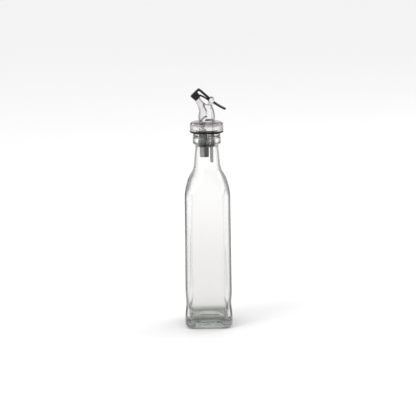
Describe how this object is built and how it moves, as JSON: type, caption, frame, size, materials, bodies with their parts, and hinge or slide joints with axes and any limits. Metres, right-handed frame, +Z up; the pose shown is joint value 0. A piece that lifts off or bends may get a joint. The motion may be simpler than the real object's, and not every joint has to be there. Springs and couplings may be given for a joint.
{
  "type": "glass oil bottle",
  "caption": "Clear square glass kitchen bottle for oil or vinegar, with a clear flip-top pourer, a black thumb lever and a soft ribbed stopper.",
  "frame": {"origin": "centre of the bottle's base, on the plane that it stands on", "axes": "+Z up along the bottle, -X the side it pours to, +X the side of the lever's tail, +Y away from the viewer"},
  "size_m": [0.0538, 0.0538, 0.2699],
  "materials": {
    "bottle_glass": "clear pressed glass, faintly grey-green where it is thick",
    "clear_plastic": "clear polished plastic with a faint warm tint",
    "soft_clear_plastic": "soft clear plastic, slightly cloudy",
    "translucent_plastic": "milky grey translucent plastic",
    "black_plastic": "black moulded plastic, gloss",
    "black_rubber": "black rubber, satin",
    "pad_rubber": "dark soft rubber, matt",
    "pin_steel": "turned steel, satin",
    "spring_steel": "drawn spring wire"
  },
  "bodies": {
    "bottle": {"glass_bottle": "bottle_glass"},
    "pourer": {"spout_housing": "clear_plastic", "stopper_sleeve": "soft_clear_plastic", "sealing_washer": "black_rubber", "pour_tube": "black_plastic", "air_tube": "translucent_plastic", "pivot_pin": "pin_steel", "return_spring": "spring_steel"},
    "lever": {"lever": "black_plastic", "seal_pad": "pad_rubber"}
  },
  "joints": [
    {"name": "stopper_lift", "type": "slide", "parent": "bottle", "child": "pourer", "axis": [0, 0, 1], "range_m": [0, 0.04]},
    {"name": "lever_hinge", "type": "hinge", "parent": "pourer", "child": "lever", "pos_m": [0.0059, 0, 0.2572], "axis": [0, 1, 0], "range_deg": [0, 30], "stiffness_Nm_per_rad": 0.02, "springref_deg": -34.38, "deforming": ["return_spring"]}
  ]
}
